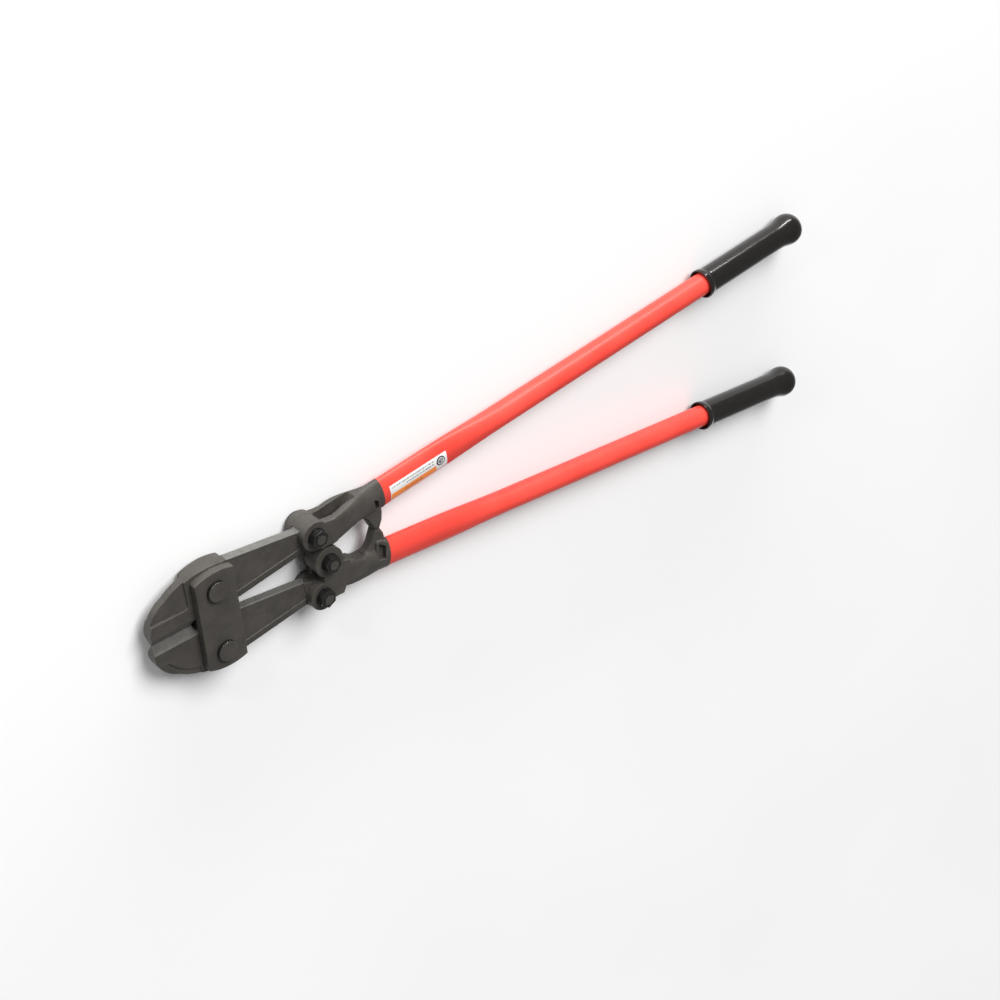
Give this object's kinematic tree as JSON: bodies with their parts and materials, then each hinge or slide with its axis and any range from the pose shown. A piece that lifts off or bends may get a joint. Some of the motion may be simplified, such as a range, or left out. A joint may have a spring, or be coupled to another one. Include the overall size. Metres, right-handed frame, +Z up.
{
  "type": "bolt cutters",
  "caption": "Long-handled centre-cut bolt cutters: compound-linkage forged jaws and handle irons, red tapered tube handles and flared black grips.",
  "frame": {"origin": "under the middle of the tool's box, on the surface that it lies on", "axes": "+X from the jaws to the grips along the closing line, +Z up off the surface through the pivots' axes, towards the pivot nuts, +Y across towards the handle that carries the label"},
  "size_m": [0.9262, 0.246, 0.045],
  "materials": {
    "forged_steel": "forged steel with a dark warm grey oxide finish, satin; bare ground steel on the cutting bevels",
    "black_hardware": "black oxide and oil, semi-gloss",
    "red_paint": "smooth red-orange powder coat on steel tube",
    "black_vinyl": "glossy black dipped vinyl",
    "label_film": "thin printed white film with a plain orange band"
  },
  "bodies": {
    "side_plates": {"side_plate_front": "forged_steel", "side_plate_back": "forged_steel", "jaw_bolt_upper": "forged_steel", "jaw_bolt_lower": "forged_steel", "jaw_nut_upper": "black_hardware", "jaw_nut_lower": "black_hardware"},
    "upper_jaw": {"upper_jaw": "forged_steel", "adjusting_cam": "black_hardware"},
    "lower_jaw": {"lower_jaw": "forged_steel"},
    "upper_handle": {"upper_handle_iron": "forged_steel", "upper_handle_tube": "red_paint", "upper_grip": "black_vinyl", "label": "label_film", "upper_pivot_bolt": "black_hardware", "upper_washer": "black_hardware", "upper_lock_washer": "black_hardware", "upper_pivot_nut": "black_hardware"},
    "lower_handle": {"lower_handle_iron": "forged_steel", "lower_handle_tube": "red_paint", "lower_grip": "black_vinyl", "lower_pivot_bolt": "black_hardware", "lower_washer": "black_hardware", "lower_lock_washer": "black_hardware", "lower_pivot_nut": "black_hardware", "centre_pivot_bolt": "black_hardware", "centre_washer": "black_hardware", "centre_lock_washer": "black_hardware", "centre_pivot_nut": "black_hardware"}
  },
  "joints": [
    {"name": "upper_jaw_hinge", "type": "hinge", "parent": "side_plates", "child": "upper_jaw", "pos_m": [-0.38983, 0.0365, 0.0203], "axis": [0, 0, -1], "range_deg": [0, 7.25]},
    {"name": "lower_jaw_hinge", "type": "hinge", "parent": "side_plates", "child": "lower_jaw", "pos_m": [-0.38983, -0.0365, 0.0203], "axis": [0, 0, 1], "range_deg": [0, 7.25]},
    {"name": "upper_handle_hinge", "type": "hinge", "parent": "upper_jaw", "child": "upper_handle", "pos_m": [-0.26933, 0.0375, 0.0203], "axis": [0, 0, 1], "range_deg": [0, 48]},
    {"name": "lower_handle_hinge", "type": "hinge", "parent": "lower_jaw", "child": "lower_handle", "pos_m": [-0.26933, -0.0375, 0.0203], "axis": [0, 0, -1], "range_deg": [0, 48]}
  ],
  "couplings": [
    {"joint": "upper_jaw_hinge", "follows": "upper_handle_hinge", "ratio": 0.151},
    {"joint": "lower_jaw_hinge", "follows": "upper_handle_hinge", "ratio": 0.151},
    {"joint": "lower_handle_hinge", "follows": "upper_handle_hinge", "ratio": 1}
  ]
}
